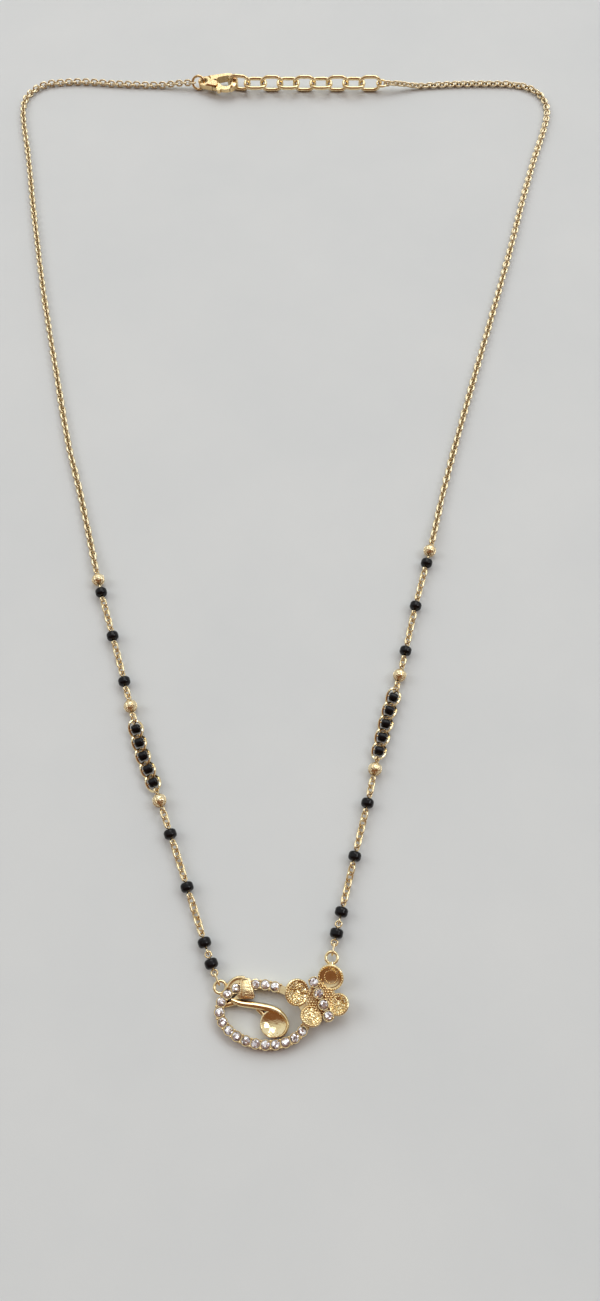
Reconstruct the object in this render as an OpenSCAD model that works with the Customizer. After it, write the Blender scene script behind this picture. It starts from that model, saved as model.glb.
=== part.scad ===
// Mangalsutra: a gold chain necklace with black beads and a stone-set pendant, lying on a flat surface.
// X runs to the right, Y from the pendant up to the clasp, Z up from the surface that it lies on.
// Each strand is laid out from the pendant's ring along its route, and the plain chain takes what is left.

/* [Cable chain] */
// Length of a cable link, outside
link_l = 1.88; // [1.7:0.02:2.3]
// Width of a cable link, outside
link_w = 1.42; // [1.36:0.02:1.6]
// Wire of the cable links
link_wire = 0.32; // [0.28:0.01:0.36]

/* [Bead strands] */
// Diameter of a black bead
black_d = 2; // [1.7:0.05:2.4]
// Length of a black bead along its hole
black_l = 1.5; // [1.3:0.05:2]
// Rounding of a black bead's corners
black_round = 0.55; // [0.35:0.05:0.6]
// Diameter of a gold bead
gold_d = 2.26; // [2.1:0.02:2.6]
// Length of a gold bead along its hole
gold_l = 2.1; // [1.9:0.05:2.2]
// Flutes round a gold bead
gold_flutes = 8; // [6:2:12]
// Radius of a flute's cutter
flute_r = 0.15; // [0.12:0.01:0.15]
// Depth of a flute
flute_depth = 0.1; // [0.06:0.01:0.12]
// Hole through the beads
bead_hole = 0.5; // [0.45:0.01:0.6]
// Wire of the eye pins that carry the beads
pin_wire = 0.28; // [0.24:0.01:0.3]
// Outer diameter of an eye pin's eye
eye_d = 1.2; // [1.16:0.02:1.4]
// Space between the two beads that share the top pin
pair_gap = 0.8; // [0.4:0.1:1.2]
// Links in each long run, between two black beads
long_run = 5; // [3:1:7]
// Links between the lower gold bead and the black bead below it
mid_run = 2; // [1:1:4]
// Links between the upper gold bead and the black bead above it
short_run = 1; // [1:1:4]
// How far the middle of a long run sags below its beads
run_sag = 0.4; // [0:0.05:0.5]
// Length of the long link that hooks into the pendant's ring, outside
drop_l = 2.2; // [2:0.1:3]

/* [Caged beads] */
// Caged beads on each side
cage_n = 5; // [3:1:6]
// Length of a cage link, outside
cage_l = 3.4; // [3.3:0.05:3.8]
// Width of a cage link, outside
cage_w = 2.6; // [2.5:0.05:3]
// Wire of the cage links
cage_wire = 0.4; // [0.34:0.02:0.42]
// How far a cage link's wire twists above and below its middle
cage_twist = 0.38; // [0.36:0.01:0.45]
// How far the inner ends of the cage links pass below the beads' middle
cage_dip = 0.6; // [0.56:0.01:0.62]
// Diameter of a caged bead
caged_d = 1.5; // [1.3:0.05:1.5]
// Length of a caged bead along its hole
caged_l = 1.5; // [1.1:0.05:1.5]
// Outer diameter of the small ring above the caged beads
small_ring_d = 1.75; // [1.74:0.01:2]

/* [Pendant frame] */
// Length of the oval line that the frame's stones stand on
oval_l = 12.9; // [12:0.1:14]
// Width of that line
oval_w = 8.26; // [7.8:0.1:9.4]
// Height of the frame's band
frame_h = 1.3; // [1.1:0.05:1.5]
// Width of the frame's band
frame_w = 1.1; // [0.9:0.05:1.3]
// Stones that would fill the whole oval
oval_stones = 23; // [22:1:24]
// Diameter of a frame stone
frame_stone_d = 1.2; // [1:0.05:1.25]
// Wall of the frame's seats, round the stone
seat_wall = 0.18; // [0.14:0.01:0.22]
// Diameter of the small prongs
prong_d = 0.34; // [0.26:0.02:0.4]
// Outer diameter of the two rings on the pendant
ring_d = 2.2; // [2:0.05:2.6]
// Wire of those rings
ring_wire = 0.45; // [0.38:0.01:0.5]

/* [Scroll, dish and fan] */
// Diameter of the polished dish
dish_d = 3.95; // [3.6:0.05:4.3]
// Height of the dish
dish_h = 1.45; // [1.3:0.05:1.6]
// Depth of the dish's hollow
dish_depth = 0.7; // [0.4:0.05:0.9]
// Widest part of the scroll
scroll_w = 1.05; // [0.9:0.05:1.2]
// Height of the scroll's top
scroll_h = 1.95; // [1.7:0.05:2.2]
// Height of the fan from its straight foot to its round top
fan_l = 3; // [2.7:0.1:3.3]
// Thickness of the fan's top over the surface
fan_h = 2.3; // [2.1:0.05:2.6]
// Width of the fan's raised border
fan_border = 0.22; // [0.16:0.02:0.3]
// Depth of the brushed field inside the border
fan_recess = 0.14; // [0.08:0.02:0.2]
// How far the fan's foot runs out to the left, to the scroll's start
fan_skirt = 1.1; // [0.9:0.05:1.3]
// Radius of the leaf's round rim, to the middle of its wall
leaf_r = 2; // [1.9:0.05:2.1]
// Width of the leaf's rim
leaf_rim = 0.55; // [0.5:0.05:0.6]
// Height of the leaf's rim
leaf_h = 1.9; // [1.85:0.05:2.1]

/* [Flower] */
// Diameter of the two large petals
large_petal_d = 3.9; // [3.5:0.05:4.2]
// Diameter of the two small petals
small_petal_d = 3.3; // [3:0.05:3.6]
// Depth of a petal cup, outside
petal_h = 0.85; // [0.75:0.05:1]
// Thickness of a petal's rim
petal_rim = 0.42; // [0.34:0.02:0.5]
// Depth of a petal's hollow
petal_depth = 0.45; // [0.3:0.05:0.55]
// How far the petals' outer edges are raised
petal_tilt = 26; // [15:1:32]
// Diameter of the four stones between the petals
petal_stone_d = 1.25; // [1.1:0.05:1.35]
// Spacing of those stones
petal_stone_step = 1.72; // [1.7:0.02:1.9]

/* [Clasp] */
// Length of the lobster clasp
clasp_l = 9.2; // [9.1:0.1:10.5]
// Width across its claw
clasp_w = 5.2; // [5:0.1:5.6]
// Thickness of its body
clasp_t = 1.6; // [1.5:0.05:1.9]
// Width of the claw's wall
claw_wall = 1.05; // [0.95:0.05:1.15]
// Bevel of the body's edges
clasp_bevel = 0.3; // [0.2:0.05:0.4]
// Diameter of the tail
tail_d = 2.8; // [2.8:0.05:3.1]
// Hole in the tail
tail_hole = 1.7; // [1.6:0.02:1.8]
// Thickness of the tail
tail_t = 1; // [0.8:0.05:1.1]
// Reach of the lever from its pivot
lever_l = 4.25; // [4.1:0.05:4.4]
// Thickness of the lever
lever_t = 0.8; // [0.6:0.05:0.9]
// Diameter of the lever's round root
lever_root_d = 1.5; // [1.4:0.05:1.6]
// Diameter of the pivot pin
pivot_d = 0.5; // [0.4:0.02:0.6]
// Outer diameter of the jump ring in the tail
clasp_ring_d = 3.2; // [3.1:0.05:3.8]
// Wire of that jump ring
clasp_ring_wire = 0.55; // [0.45:0.01:0.56]

/* [Extender] */
// Links of the extender
extender_n = 9; // [7:1:9]
// Length of an extender link, outside
extender_l = 5.35; // [5:0.05:5.6]
// Width of an extender link, outside
extender_w = 3.9; // [3.7:0.1:4.2]
// Wire of the extender links
extender_wire = 0.75; // [0.65:0.01:0.76]
// Outer diameter of the jump ring at the extender's end
end_ring_d = 2.6; // [2.5:0.05:3]
// Wire of that jump ring
end_ring_wire = 0.45; // [0.4:0.01:0.5]

/* [Fit] */
// Free space between linked wires
play = 0.13; // [0.12:0.01:0.14]
// Space between a bead and what stands beside it on its pin
bead_gap = 0.06; // [0.05:0.01:0.12]
// Space between a stone and its seat
stone_gap = 0.05; // [0.03:0.01:0.06]
// Running clearance of the lever on its pivot
pivot_gap = 0.06; // [0.04:0.01:0.08]
// Free space round the lever
lever_gap = 0.12; // [0.1:0.01:0.15]
// Space between the end of a plain chain and the ring or eye that it hangs on
chain_gap = 0.12; // [0.1:0.01:0.2]

/* [Hidden] */
// Routes of the two strands and plain chains, from just past the pendant up to the top corner
left_route = [
    [-10, -91.2], [-14, -80.2], [-17, -72], [-20.2, -63.5], [-22.4, -58.5], [-24.6, -51],
    [-28.8, -37.4], [-31.6, -28.5], [-33.8, -20.5], [-37.3, -7.5], [-40.5, 3.5], [-44.4, 20.2],
    [-48.6, 38.6], [-51.5, 53], [-53.8, 65], [-56.2, 78.5], [-58.2, 88], [-59.1, 94],
    [-58.6, 98], [-56, 101.3], [-52, 102.6], [-45, 102.8], [-36, 102]
];
right_route = [
    [9, -86.4], [11.8, -75.6], [14.1, -66.8], [16.2, -58.2], [18, -51.5], [20.3, -44.2],
    [23.7, -30.6], [26.8, -19.5], [30.6, -4.5], [36.4, 15.5], [42, 34.2], [46.8, 50.5],
    [51.2, 66.5], [54.6, 78], [57.4, 86.5], [59, 93], [58.4, 97.8], [55.6, 100.8],
    [51, 102.1], [41, 102.2], [32, 101.6]
];
// The middle of the pendant's oval, and the line that the clasp and the extender lie on
pendant_at = [-2.1, -98.5];
top_y = 100.6;
// The middle of the extender's first link
extender_x = -10.5;

// The cage links lie a little slacker than the others
cage_slack = 0.03;

// Half lengths between the middles of the wire, and steps between linked links
link_half = (link_l - link_wire) / 2;
link_r = (link_w - link_wire) / 2;
link_step = 2 * link_half - link_wire - play;
drop_half = (drop_l - link_wire) / 2;
eye_r = (eye_d - pin_wire) / 2;
cage_half = (cage_l - cage_wire) / 2;
cage_r = (cage_w - cage_wire) / 2;
cage_step = 2 * cage_half - cage_wire - play - cage_slack;
small_ring_r = (small_ring_d - link_wire) / 2;
ring_r = (ring_d - ring_wire) / 2;
extender_half = (extender_l - extender_wire) / 2;
extender_r = (extender_w - extender_wire) / 2;
extender_step = 2 * extender_half - extender_wire - play;
end_ring_r = (end_ring_d - end_ring_wire) / 2;
clasp_ring_r = (clasp_ring_d - clasp_ring_wire) / 2;

// The plain chain's links lie rolled by half a right angle, so this is how thick the chain looks
chain_d = (link_w - link_wire) * sin(45) + link_wire;
// The strands' middle line is as high as a gold bead's
strand_z = gold_d / 2;
// Length over which a plain chain comes down from its end to the surface
chain_ramp = 9;

// Frame seats that the fan and the flower cover
fan_seats = [8];
flower_seats = [0, 1, 2, 3, 4];
oval_tilt = -9;
seat_d = frame_stone_d + 2 * seat_wall;
// The seats stand a little higher than the band, and the prongs a little higher than the seats
seat_foot_z = 0.2;
seat_lift = 0.15;
seat_h = frame_h + seat_lift;
prong_foot_z = 0.4;
prong_rise = 0.05;
// How far the prongs reach in over the stones, and the small end of a stone's pocket
prong_grip = 0.06;
pocket_tip_d = 0.2;
pocket_open = 2;
// Girdle height of the stones, and shares of a stone's diameter
crown_share = 0.16;
pavilion_share = 0.42;
table_share = 0.56;

// The flower's middle, as shares of the oval's half length and half width
flower_at = [1.3256, 0.4964];
// Petals: place from the flower's middle as shares of the petal's diameter, that diameter,
// and the direction of the raised edge
petals = [
    [[-0.91, 0.244], large_petal_d, 165],
    [[0.372, 0.782], large_petal_d, 64],
    [[0.773, -0.227], small_petal_d, -17],
    [[-0.439, -0.727], small_petal_d, 240]
];
PETAL_AT = 0;
PETAL_D = 1;
PETAL_TURN = 2;
petal_z = 2.1;
// The petals' hollows start a little over the middle of their rims
petal_rim_rise = 0.1;
// The flat core under the petals
core_d = 4.6;
core_h = 0.95;
core_z = 0.55;
// Direction of the line of four stones, and of the right ring from its petal
stone_line = -66;
right_ring_turn = 86;
// How deep the left ring bites into its seat, and how far the right ring stands off its petal
ring_bite = 0.1;
ring_arm_d = 0.9;
// Seats of the four stones: foot and top heights, wall and prongs
petal_seat_foot_z = 0.9;
petal_seat_foot_d = 1.1;
petal_seat_z = 2.3;
petal_seat_wall = 0.2;
petal_seat_d = petal_stone_d + 2 * petal_seat_wall;
petal_prong_foot_z = 1.4;
petal_prong_rise = 0.1;
petal_prong_inset = 0.1;

// Scroll: places from the oval's middle as shares of its half length and half width,
// and widths as shares of the widest part
scroll = [
    [[-0.72, 0.49], 0.6], [[-0.62, 0.42], 0.8], [[-0.496, 0.363], 0.9], [[-0.31, 0.327], 0.95],
    [[-0.124, 0.291], 1], [[0.062, 0.242], 1], [[0.233, 0.182], 0.95], [[0.372, 0.085], 0.8],
    [[0.481, -0.061], 0.65], [[0.543, -0.206], 0.5], [[0.571, -0.363], 0.42], [[0.55, -0.508], 0.38],
    [[0.488, -0.654], 0.35], [[0.388, -0.751], 0.3]
];
SCROLL_AT = 0;
SCROLL_W = 1;
scroll_foot_z = 0.55;
scroll_low_share = 0.75;
// The foot that joins the scroll to the band, and where round the oval it lands
scroll_foot_d = 0.8;
scroll_foot_turn = 177;
// The dish's place as shares like the scroll's, its rim, and the strut that steadies it
dish_at = [0.245, -0.315];
dish_rim = 0.14;
strut_turn = 138;
strut_d = 0.7;
strut_l = 1.6;
strut_bite = 0.4;
strut_z = 0.8;
// Lower left corner of the fan as shares, width of its foot, lean of its right edge, and its domed top
fan_at = [-0.524, 0.508];
fan_foot = 2.3;
fan_lean = 0.32;
fan_low_z = 0.5;
fan_ball = 3;
// Height of the fan's skirt, and how far up the fan it reaches
skirt_h = 1.6;
skirt_share = 0.4;
// The leaf's middle as shares, where its rim runs round it, and the plate inside the rim
leaf_at = [-0.518, 0.76];
leaf_from = 74;
leaf_to = 163;
leaf_low_z = 0.4;
leaf_plate_h = 1.2;

// A gold bead's flutes run this far towards its ends
flute_reach = 69;

// Members of a strand in order from the pendant, each with its kind and how many it holds
members = [
    ["drop", 1], ["black", 1], ["black", 1], ["run", long_run], ["black", 1], ["run", long_run],
    ["black", 1], ["run", mid_run], ["gold", 1], ["cage", cage_n], ["gold", 1], ["run", short_run],
    ["black", 1], ["run", long_run], ["black", 1], ["run", long_run], ["pair", 1]
];
KIND = 0;
COUNT = 1;

sides = ["left", "right"];
function places_of(kind) = [
    for (i = [0:len(members) - 1]) if (members[i][KIND] == kind || members[i][KIND] == "pair") i
];
black_places = places_of("black");
gold_places = places_of("gold");

$fn = 48;
sweep_sides = 8;
scroll_sides = 16;
cage_sides = 6;
cage_stations = 24;
chain_rings = 38;

// Lines, and places along them
function lerp(a, b, t) = a + (b - a) * t;
function turned(p, angle) = [p.x * cos(angle) - p.y * sin(angle), p.x * sin(angle) + p.y * cos(angle)];
function direction(angle) = [cos(angle), sin(angle)];
function bend(a, b, c, d, t) =
    0.5 * (2 * b + (c - a) * t + (2 * a - 5 * b + 4 * c - d) * t * t + (3 * b - a - 3 * c + d) * t * t * t);
function smooth(p, per_span = 6) = [
    for (i = [0:len(p) - 2], k = [0:per_span - 1])
        bend(p[max(i - 1, 0)], p[i], p[i + 1], p[min(i + 2, len(p) - 1)], k / per_span),
    p[len(p) - 1]
];
function lengths(p) = [
    for (i = 0, s = 0; i < len(p); s = s + (i + 1 < len(p) ? norm(p[i + 1] - p[i]) : 0), i = i + 1) s
];
function table(p, axis) = let (s = lengths(p)) [for (i = [0:len(p) - 1]) [s[i], p[i][axis]]];
function measured(p) = [table(p, 0), table(p, 1), lengths(p)[len(p) - 1]];
function along(line, s) = [lookup(s, line[0]), lookup(s, line[1])];

// The pendant's oval, measured round its stone line
function oval_point(angle) =
    pendant_at + turned([oval_l / 2 * cos(angle), oval_w / 2 * sin(angle)], oval_tilt);
function in_oval(share) = pendant_at + [share.x * oval_l / 2, share.y * oval_w / 2];
function raised(at, z) = [at.x, at.y, z];
oval_line = measured([for (angle = [0:3:360]) oval_point(angle)]);
function seat_at(i) = along(oval_line, oval_line[2] * (i % oval_stones) / oval_stones);
function out_from(i) =
    let (step = seat_at(i + 0.02) - seat_at(i - 0.02 + oval_stones)) [step.y, -step.x] / norm(step);
function has_stone(i) = len([for (k = concat(fan_seats, flower_seats)) if (k == i) k]) == 0;
stone_seats = [for (i = [0:oval_stones - 1]) if (has_stone(i)) i];

// The pendant's rings, and the two strand lines that start in their middles
left_ring_turn = 148;
left_ring_out = oval_point(left_ring_turn) - pendant_at;
left_ring_reach = seat_d / 2 + ring_r - ring_bite;
left_ring_at = oval_point(left_ring_turn) + left_ring_out / norm(left_ring_out) * left_ring_reach;
flower_mid = in_oval(flower_at);
function petal_at(row) = flower_mid + row[PETAL_AT] * row[PETAL_D];
right_petal_at = petal_at(petals[1]);
right_ring_at = right_petal_at + direction(right_ring_turn) * (large_petal_d / 2 + ring_r + ring_bite);

// The clasp's tail, claw and pivot in its own plan, from the middle of the tail's hole
claw_r = clasp_w / 2;
claw_x = clasp_l - tail_d / 2 - claw_r;
mouth_r = claw_r - claw_wall;
pivot_back = 2.95;
pivot_side = 1.05;
pivot_at = [claw_x - pivot_back, -pivot_side];
pivot_head = 0.1;
cheek_r = 1.02;
// The mouth narrows towards the tail, to a round end of this radius and place
mouth_neck_r = 0.75;
mouth_neck_back = 1.5;
mouth_neck_side = 0.35;
// How far beyond the pivot's line the lever, its slot and the open side of the cheeks reach
lever_top = 0.6;
slot_top = 1.2;
cheek_top = 1.35;
// The lever's elbow, from the pivot
lever_elbow_d = 0.9;
lever_elbow_at = [1.55, -1.45];
// Where the extender's first link hangs in the claw, and how far the jump ring sits in the tail's hole
hook_reach = 0.4;
hook_side = 0.62;
hook_at = [claw_x + hook_reach, hook_side];
ring_shift = 0.08;
tail_shoulder = 0.25;
// The clasp and the extender's first link lie turned a little, opposite ways
clasp_yaw = -9;
hook_yaw = -8;
hook_z = extender_r + extender_wire / 2;
first_hook = [extender_x + extender_half, top_y] - 2 * extender_half * direction(hook_yaw);
tail_at = first_hook - turned(hook_at, clasp_yaw);
clasp_ring_roll = 62;
clasp_ring_z = clasp_ring_r * sin(clasp_ring_roll) + clasp_ring_wire / 2;
clasp_ring_x = tail_at.x - clasp_ring_r - ring_shift;
clasp_pitch = -atan((hook_z - clasp_ring_z) / hook_at.x);

// The extender's links stand and lie flat in turn, and the first one stands in the claw
function extender_roll(k) = 90 * (k + 1);
extender_end_x = extender_x + (extender_n - 1) * extender_step + extender_half;
end_ring_x = extender_end_x - (extender_wire + end_ring_wire) / 2 - play + end_ring_r;

left_end = [clasp_ring_x - clasp_ring_d / 2 - chain_gap, tail_at.y];
right_end = [end_ring_x + end_ring_d / 2 + chain_gap, top_y];
left_line = measured(smooth(concat([left_ring_at], left_route, [left_end])));
right_line = measured(smooth(concat([right_ring_at], right_route, [right_end])));
function line_of(side) = side == "left" ? left_line : right_line;

// How far each member reaches along its strand, and where it starts
function pin_half(bead_l) = bead_l / 2 + bead_gap + pin_wire / 2 + eye_r;
function run_span(n) = 2 * link_half + (n - 1) * link_step;
cage_span = 2 * cage_half + (cage_n - 1) * cage_step;
small_ring_start = cage_span - (cage_wire + link_wire) / 2 - play;
pair_step = black_l / 2 + pair_gap + gold_l / 2;
function span(m) =
    m[KIND] == "drop" ? 2 * drop_half :
    m[KIND] == "black" ? 2 * pin_half(black_l) :
    m[KIND] == "gold" ? 2 * pin_half(gold_l) :
    m[KIND] == "pair" ? pin_half(black_l) + pair_step + pin_half(gold_l) :
    m[KIND] == "run" ? run_span(m[COUNT]) :
    small_ring_start + 2 * small_ring_r;
function is_pin(m) = m[KIND] == "black" || m[KIND] == "gold" || m[KIND] == "pair";
first_start = ring_r - (ring_wire + link_wire) / 2 - play;
function start(i) =
    i == 0 ? first_start :
    start(i - 1) + span(members[i - 1]) + (is_pin(members[i - 1]) && is_pin(members[i]) ? eye_r : 0);
starts = [for (i = [0:len(members) - 1]) start(i)];
strand_end = starts[len(members) - 1] + span(members[len(members) - 1]);

// Roll of each member's first wire: links turn a right angle each, and a cage link's ends slope both ways
cage_slope = atan(2 * cage_twist / cage_r);
function end_roll(i) =
    members[i][KIND] == "drop" ? 90 :
    members[i][KIND] == "cage" ? cage_slope - 90 :
    members[i][KIND] == "run" ? start_roll(i) + 90 * (members[i][COUNT] - 1) :
    members[i + 1][KIND] == "cage" ? 90 - cage_slope :
    i == 1 ? 0 : 45;
function start_roll(i) = i == 0 ? 90 : members[i][KIND] == "cage" ? 0 : end_roll(i - 1) + 90;

// Height of a strand or chain over the surface
function run_z(share) = strand_z - run_sag * pow(sin(180 * share), 2);
function ramp(u) = u < 1 ? pow(1 - u, 2) * (1 + 2 * u) : 0;
function chain_z(s, last, end_z) =
    chain_d / 2 + (strand_z - chain_d / 2) * ramp((s - strand_end) / chain_ramp)
    + (end_z - chain_d / 2) * ramp((last - s) / chain_ramp);
function place(side, s, z = strand_z) = raised(along(line_of(side), s), z);

// Wires, rings and links lie in the XY plane with their length along X
module torus(r, wire) {
    rotate_extrude() translate([r, 0]) circle(d = wire);
}

module half_ring(r, wire) {
    rotate([0, 0, -90]) rotate_extrude(angle = 180) translate([r, 0]) circle(d = wire);
}

module oval_link(half, r, wire) {
    for (turn = [0, 180])
        rotate([0, 0, turn]) {
            translate([half - r, 0, 0]) half_ring(r, wire);
            translate([r - half, r, 0]) rotate([0, 90, 0]) cylinder(d = wire, h = 2 * (half - r));
        }
}

// Puts what is drawn along X from the origin on the way from p to q, and rolls it about that way
module from_to(p, q, roll = 0) {
    d = q - p;
    translate(p)
        rotate([0, -atan2(d.z, norm([d.x, d.y])), atan2(d.y, d.x)])
            rotate([roll, 0, 0])
                children();
}

function cross_of(a, b) = cross(a, b) / norm(cross(a, b));
function around(p, way, rx, rz, n) =
    let (across = cross_of(way, [0, 0, 1]), up = cross_of(across, way))
    [for (k = [0:n - 1]) p + across * rx * cos(360 * k / n) + up * rz * sin(360 * k / n)];
function skin(rings, n) = [
    for (i = [0:rings - 2], k = [0:n - 1]) [i * n + k, i * n + (k + 1) % n, (i + 1) * n + (k + 1) % n],
    for (i = [0:rings - 2], k = [0:n - 1]) [i * n + k, (i + 1) * n + (k + 1) % n, (i + 1) * n + k]
];

// An open tube through points, with its half width and half height at each
module tube(points, wide, high, n = sweep_sides) {
    last = len(points) - 1;
    rings = [
        for (i = [0:last])
            around(points[i], points[min(i + 1, last)] - points[max(i - 1, 0)], wide[i], high[i], n)
    ];
    caps = [[for (k = [n - 1:-1:0]) k], [for (k = [0:n - 1]) last * n + k]];
    polyhedron([for (r = rings, p = r) p], concat(caps, skin(last + 1, n)), convexity = 4);
}

// A closed loop of wire through points
module wire_loop(points, wire, n = cage_sides) {
    count = len(points);
    rings = [
        for (i = [0:count - 1])
            let (way = points[(i + 1) % count] - points[(i + count - 1) % count])
            around(points[i], way, wire / 2, wire / 2, n)
    ];
    closing = [
        for (k = [0:n - 1])
            each [
                [(count - 1) * n + k, (count - 1) * n + (k + 1) % n, (k + 1) % n],
                [(count - 1) * n + k, (k + 1) % n, k]
            ]
    ];
    polyhedron([for (r = rings, p = r) p], concat(skin(count, n), closing), convexity = 4);
}

// Beads have their hole along X and their middle at the origin
module black_bead(d, l, hole, corner) {
    color([0.03, 0.03, 0.04])
        rotate([0, 90, 0])
            rotate_extrude()
                difference() {
                    union() {
                        translate([0, corner - l / 2]) square([d / 2, l - 2 * corner]);
                        translate([0, -l / 2]) square([d / 2 - corner, l]);
                        for (side = [-1, 1])
                            translate([d / 2 - corner, side * (l / 2 - corner)]) circle(corner);
                    }
                    translate([-d, -l]) square([d + hole / 2, 2 * l]);
                }
}

module gold_bead() {
    color([0.86, 0.66, 0.3])
        difference() {
            intersection() {
                sphere(d = gold_d);
                cube([gold_l, 2 * gold_d, 2 * gold_d], center = true);
            }
            rotate([0, 90, 0]) cylinder(d = bead_hole, h = 2 * gold_l, center = true);
            for (k = [0:gold_flutes - 1])
                rotate([360 * (k + 0.5) / gold_flutes, 0, 0])
                    rotate([0, 0, 90 - flute_reach])
                        rotate_extrude(angle = 2 * flute_reach)
                            translate([gold_d / 2 + flute_r - flute_depth, 0]) circle(flute_r);
        }
}

module eye_pin(length, first_roll, last_roll) {
    translate([eye_r, 0, 0]) rotate([0, 90, 0]) cylinder(d = 0.92 * pin_wire, h = length - 2 * eye_r);
    rotate([first_roll, 0, 0]) torus(eye_r, pin_wire);
    translate([length, 0, 0]) rotate([last_roll, 0, 0]) torus(eye_r, pin_wire);
}

// Each side's pins, beads, links and caged beads, set out along the side's line
module eye_pins(side) {
    color([0.86, 0.68, 0.34])
        for (i = [0:len(members) - 1])
            if (is_pin(members[i])) {
                a = place(side, starts[i]);
                b = place(side, starts[i] + span(members[i]));
                from_to(a, b) eye_pin(norm(b - a), start_roll(i), end_roll(i));
            }
}

module pinned(side, i, at) {
    a = place(side, starts[i]);
    b = place(side, starts[i] + span(members[i]));
    from_to(a, b) translate([at, 0, 0]) children();
}

module black_bead_of(side, nth) {
    pinned(side, black_places[nth - 1], pin_half(black_l))
        black_bead(black_d, black_l, bead_hole, black_round);
}

module gold_bead_of(side, nth) {
    i = gold_places[nth - 1];
    at = members[i][KIND] == "pair" ? pin_half(black_l) + pair_step : pin_half(gold_l);
    pinned(side, i, at) gold_bead();
}

module bead_chain(side) {
    color([0.84, 0.68, 0.36])
        for (i = [0:len(members) - 1]) {
            if (members[i][KIND] == "drop")
                from_to(place(side, starts[i]), place(side, starts[i] + 2 * drop_half), start_roll(i))
                    translate([drop_half, 0, 0]) oval_link(drop_half, link_r, link_wire);
            if (members[i][KIND] == "run")
                for (k = [0:members[i][COUNT] - 1]) {
                    whole = members[i][COUNT] > 2 ? span(members[i]) : 1e6;
                    from = k * link_step;
                    to = from + 2 * link_half;
                    a = place(side, starts[i] + from, run_z(from / whole));
                    b = place(side, starts[i] + to, run_z(to / whole));
                    from_to(a, b, start_roll(i) + 90 * k)
                        translate([link_half, 0, 0]) oval_link(link_half, link_r, link_wire);
                }
            if (members[i][KIND] == "cage") {
                s = starts[i] + small_ring_start;
                from_to(place(side, s), place(side, s + 2 * small_ring_r), cage_slope - 90)
                    translate([small_ring_r, 0, 0]) torus(small_ring_r, link_wire);
            }
        }
}

cage_member = [for (i = [0:len(members) - 1]) if (members[i][KIND] == "cage") i][0];
function cage_start(k) = starts[cage_member] + k * cage_step;

// A twisted cage link's wire: its ends dip under the beads' middle where another link passes
function cage_point(angle, k) =
    let (dips = cos(angle) > 0 ? k < cage_n - 1 : k > 0)
    [
        cage_half * cos(angle),
        cage_r * sin(angle),
        cage_twist * sin(2 * angle) - (dips ? cage_dip * pow(cos(angle), 2) : 0)
    ];

module cage_links(side) {
    color([0.86, 0.68, 0.34])
        for (k = [0:cage_n - 1])
            from_to(place(side, cage_start(k)), place(side, cage_start(k) + 2 * cage_half))
                translate([cage_half, 0, 0]) {
                    wire_loop(
                        [for (j = [0:cage_stations - 1]) cage_point(360 * j / cage_stations, k)],
                        cage_wire
                    );
                    rotate([90, 0, 0]) cylinder(d = pin_wire, h = 2 * cage_r, center = true);
                }
}

module caged_bead_of(side, nth) {
    from_to(place(side, cage_start(nth - 1)), place(side, cage_start(nth - 1) + 2 * cage_half))
        translate([cage_half, 0, 0])
            rotate([0, 0, 90]) black_bead(caged_d, caged_l, bead_hole, black_round * caged_d / black_d);
}

// The plain chain's outer form, from the strand's last eye to the ring at the top
module plain_chain(side) {
    line = line_of(side);
    first = strand_end + eye_d / 2 + chain_gap;
    last = line[2];
    end_z = side == "left" ? clasp_ring_z : hook_z;
    points = [
        for (k = [0:chain_rings - 1])
            let (s = lerp(first, last, k / (chain_rings - 1))) place(side, s, chain_z(s, last, end_z))
    ];
    radii = [for (p = points) chain_d / 2];
    color([0.78, 0.68, 0.44]) tube(points, radii, radii);
}

// A cut stone with its girdle at the origin: a table, a crown of facets and a pointed pavilion
module cut_stone(d) {
    ring = [for (j = [0:15]) direction(22.5 * j) * d / 2];
    top = [for (i = [0:7]) direction(45 * i + 22.5) * d / 2 * table_share];
    girdle = 0.03 * d;
    points = concat(
        [for (p = top) [p.x, p.y, crown_share * d]],
        [for (p = ring) [p.x, p.y, girdle / 2]],
        [for (p = ring) [p.x, p.y, -girdle / 2]],
        [[0, 0, -pavilion_share * d]]
    );
    faces = concat(
        [[for (i = [7:-1:0]) i]],
        [for (i = [0:7]) [i, 8 + (2 * i + 1) % 16, 8 + 2 * i]],
        [for (i = [0:7]) [i, 8 + (2 * i + 2) % 16, 8 + 2 * i + 1]],
        [for (i = [0:7]) [i, (i + 1) % 8, 8 + (2 * i + 2) % 16]],
        [for (j = [0:15]) [8 + j, 8 + (j + 1) % 16, 24 + (j + 1) % 16, 24 + j]],
        [for (j = [0:15]) [24 + j, 24 + (j + 1) % 16, 40]]
    );
    color([0.88, 0.88, 0.95]) polyhedron(points, faces);
}

module frame_stones() {
    for (i = stone_seats) translate(raised(seat_at(i), seat_h + stone_gap)) cut_stone(frame_stone_d);
}

function petal_stone_at(k) = flower_mid + direction(stone_line) * petal_stone_step * (k - 1.5);

module petal_stones() {
    for (k = [0:3]) translate(raised(petal_stone_at(k), petal_seat_z + stone_gap)) cut_stone(petal_stone_d);
}

// The pendant is one soldered piece of metal: oval band, seats, rings, scroll, dish, fan and flower
module oval_band() {
    translate(raised(pendant_at, 0))
        rotate([0, 0, oval_tilt])
            difference() {
                scale([oval_l + frame_w, oval_w + frame_w, 1]) cylinder(d = 1, h = frame_h);
                translate([0, 0, -frame_h])
                    scale([oval_l - frame_w, oval_w - frame_w, 1]) cylinder(d = 1, h = 3 * frame_h);
            }
}

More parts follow.
